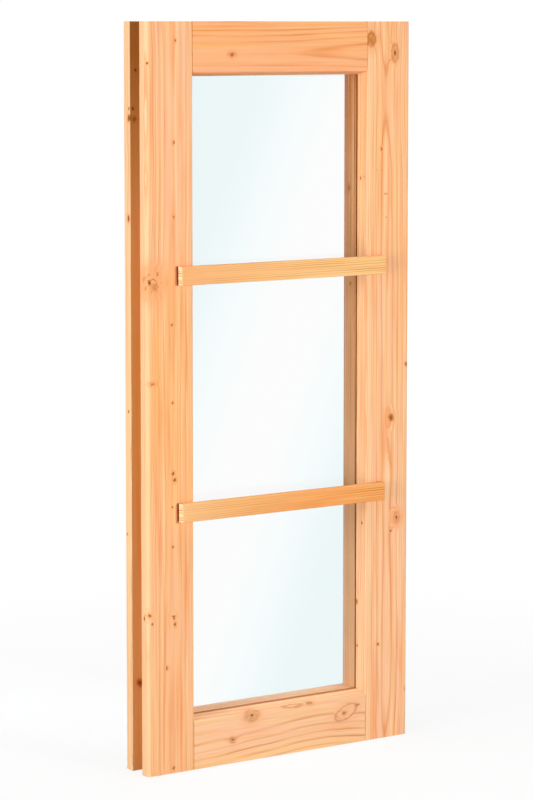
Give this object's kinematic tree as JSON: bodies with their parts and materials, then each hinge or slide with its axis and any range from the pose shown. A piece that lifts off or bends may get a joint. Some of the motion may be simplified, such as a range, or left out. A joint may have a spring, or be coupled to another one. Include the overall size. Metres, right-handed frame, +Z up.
{
  "type": "fixed timber window",
  "caption": "Upright fixed softwood window: grooved frame, clear pane held by mitred beads, flat glazing bars planted across the front.",
  "frame": {"origin": "middle of the bottom edge of the frame, half way through its depth, on the face that stands on the wall", "axes": "+X along the width to the right as seen from outside, +Y from the outside face to the inside face, +Z up"},
  "size_m": [0.425, 0.069, 1],
  "materials": {
    "frame_wood": "planed bare softwood, satin",
    "bar_wood": "planed bare softwood, fine straight grain",
    "bead_wood": "planed bare softwood, satin",
    "pane_glass": "clear float glass"
  },
  "bodies": {
    "root": {"left_stile": "frame_wood", "right_stile": "frame_wood", "top_rail": "frame_wood", "bottom_rail": "frame_wood", "glass_pane": "pane_glass", "upper_glazing_bar": "bar_wood", "lower_glazing_bar": "bar_wood", "left_bead": "bead_wood", "right_bead": "bead_wood", "top_bead": "bead_wood", "bottom_bead": "bead_wood"}
  },
  "joints": []
}
